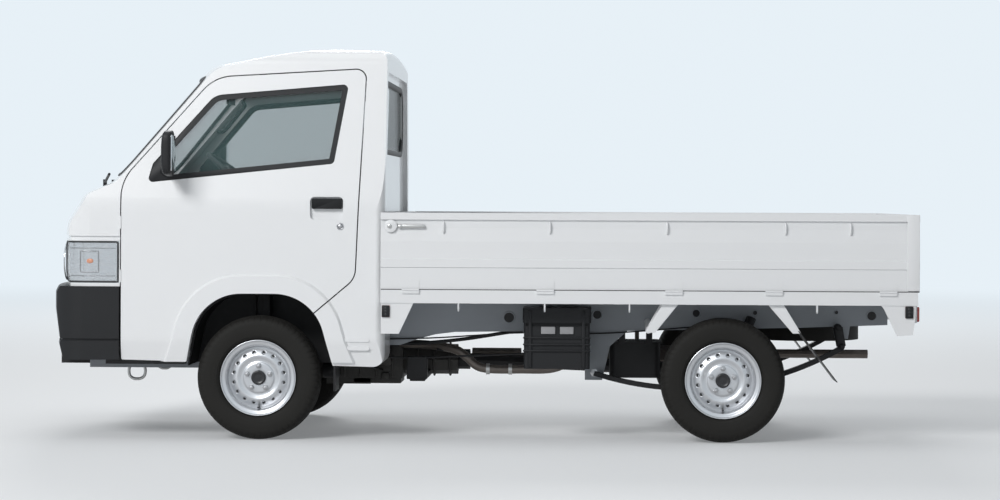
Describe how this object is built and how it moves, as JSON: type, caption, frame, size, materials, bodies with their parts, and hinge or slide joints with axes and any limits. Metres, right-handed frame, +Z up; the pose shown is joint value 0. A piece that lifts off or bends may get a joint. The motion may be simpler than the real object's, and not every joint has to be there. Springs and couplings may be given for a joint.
{
  "type": "light cab-over flatbed truck",
  "caption": "Small forward-control truck with a two-seat cab, hinged doors, a steel ladder chassis and a flat drop-side load bed on single steel wheels.",
  "frame": {"origin": "on the ground, midway between the bumper's front and the rear stops, on the centre line", "axes": "+X forward, +Y to the truck's left, +Z up"},
  "size_m": [4.195, 2.056, 1.8858],
  "materials": {
    "white_paint": "gloss",
    "white_bed_paint": "gloss",
    "black_plastic": "textured",
    "black_chassis": "satin",
    "rail_paint": "satin",
    "tinted_glass": "gloss",
    "lamp_lens": "gloss",
    "chrome_bowl": "gloss",
    "tail_lamp": "gloss",
    "grey_trim": "textured",
    "seat_cloth": "woven",
    "floor_vinyl": "matte",
    "bare_metal": "satin",
    "exhaust_metal": "satin",
    "wheel_silver": "satin",
    "tyre_rubber": "matte"
  },
  "bodies": {
    "root": {"side_rails": "rail_paint", "cross_members": "rail_paint", "front_subframe": "black_chassis", "cab_shell": "white_paint", "cab_floor": "floor_vinyl", "windscreen": "tinted_glass", "rear_window": "tinted_glass", "front_bumper": "black_plastic", "grille": "black_plastic", "headlamps": "lamp_lens", "lamp_housings": "chrome_bowl", "wipers": "black_plastic", "dashboard": "grey_trim", "seat_cushions": "seat_cloth", "seat_backs": "seat_cloth", "cab_trim": "grey_trim", "steering_column": "grey_trim", "front_crossmember": "black_chassis", "arch_liners": "black_chassis", "engine_and_gearbox": "bare_metal", "propeller_shaft": "black_chassis", "exhaust": "exhaust_metal", "fuel_tank": "black_chassis", "battery_box": "black_plastic", "spare_wheel": "tyre_rubber", "rear_axle": "black_chassis", "leaf_springs": "black_chassis", "rear_dampers": "black_chassis", "front_suspension": "black_chassis", "deck_floor": "white_bed_paint", "deck_sills": "white_bed_paint", "deck_front_wall": "white_bed_paint", "deck_skirts": "white_bed_paint", "deck_lamps": "tail_lamp"},
    "door_left": {"door_left": "white_paint", "door_glass_left": "tinted_glass", "door_fittings_left": "black_plastic"},
    "door_right": {"door_right": "white_paint", "door_glass_right": "tinted_glass", "door_fittings_right": "black_plastic"},
    "side_gate_left": {"side_gate_left": "white_bed_paint"},
    "side_gate_right": {"side_gate_right": "white_bed_paint"},
    "tailgate": {"tailgate": "white_bed_paint"},
    "steering_wheel": {"steering_wheel": "grey_trim"},
    "knuckle_left": {"knuckle_left": "bare_metal"},
    "knuckle_right": {"knuckle_right": "bare_metal"},
    "tie_rod": {"tie_rod": "black_chassis"},
    "wheel_front_left": {"tyre_front_left": "tyre_rubber", "rim_front_left": "wheel_silver"},
    "wheel_front_right": {"tyre_front_right": "tyre_rubber", "rim_front_right": "wheel_silver"},
    "wheel_rear_left": {"tyre_rear_left": "tyre_rubber", "rim_rear_left": "wheel_silver"},
    "wheel_rear_right": {"tyre_rear_right": "tyre_rubber", "rim_rear_right": "wheel_silver"}
  },
  "joints": [
    {"name": "wheel_front_left_spin", "type": "hinge", "parent": "knuckle_left", "child": "wheel_front_left", "pos_m": [1.0325, 0.7275, 0.295], "axis": [0, 1, 0], "continuous": true},
    {"name": "wheel_front_right_spin", "type": "hinge", "parent": "knuckle_right", "child": "wheel_front_right", "pos_m": [1.0325, -0.7275, 0.295], "axis": [0, 1, 0], "continuous": true},
    {"name": "wheel_rear_left_spin", "type": "hinge", "parent": "root", "child": "wheel_rear_left", "pos_m": [-1.1725, 0.7275, 0.295], "axis": [0, 1, 0], "continuous": true},
    {"name": "wheel_rear_right_spin", "type": "hinge", "parent": "root", "child": "wheel_rear_right", "pos_m": [-1.1725, -0.7275, 0.295], "axis": [0, 1, 0], "continuous": true},
    {"name": "steer_left", "type": "hinge", "parent": "root", "child": "knuckle_left", "pos_m": [1.0325, 0.665, 0.295], "axis": [0, 0, 1], "range_deg": [-35, 35]},
    {"name": "steer_right", "type": "hinge", "parent": "root", "child": "knuckle_right", "pos_m": [1.0325, -0.665, 0.295], "axis": [0, 0, 1], "range_deg": [-35, 35]},
    {"name": "steering_wheel_turn", "type": "hinge", "parent": "root", "child": "steering_wheel", "pos_m": [1.299, -0.4, 1.271], "axis": [-0.5878, 0, 0.809], "range_deg": [-540, 540]},
    {"name": "tie_rod_slide", "type": "slide", "parent": "root", "child": "tie_rod", "axis": [0, 1, 0], "range_m": [-0.076, 0.076]},
    {"name": "door_left_hinge", "type": "hinge", "parent": "root", "child": "door_left", "pos_m": [1.68688, 0.828, 0.9], "axis": [0, 0, -1], "range_deg": [0, 65]},
    {"name": "door_right_hinge", "type": "hinge", "parent": "root", "child": "door_right", "pos_m": [1.68688, -0.828, 0.9], "axis": [0, 0, 1], "range_deg": [0, 65]},
    {"name": "side_gate_left_hinge", "type": "hinge", "parent": "root", "child": "side_gate_left", "pos_m": [0, 0.878, 0.7195], "axis": [-1, 0, 0], "range_deg": [0, 175]},
    {"name": "side_gate_right_hinge", "type": "hinge", "parent": "root", "child": "side_gate_right", "pos_m": [0, -0.878, 0.7195], "axis": [1, 0, 0], "range_deg": [0, 175]},
    {"name": "tailgate_hinge", "type": "hinge", "parent": "root", "child": "tailgate", "pos_m": [-2.088, 0, 0.7195], "axis": [0, -1, 0], "range_deg": [0, 170]}
  ],
  "couplings": [
    {"joint": "steer_right", "follows": "steer_left", "ratio": 1},
    {"joint": "steering_wheel_turn", "follows": "steer_left", "ratio": 15.4},
    {"joint": "tie_rod_slide", "follows": "steer_left", "m_per_rad": -0.112}
  ]
}
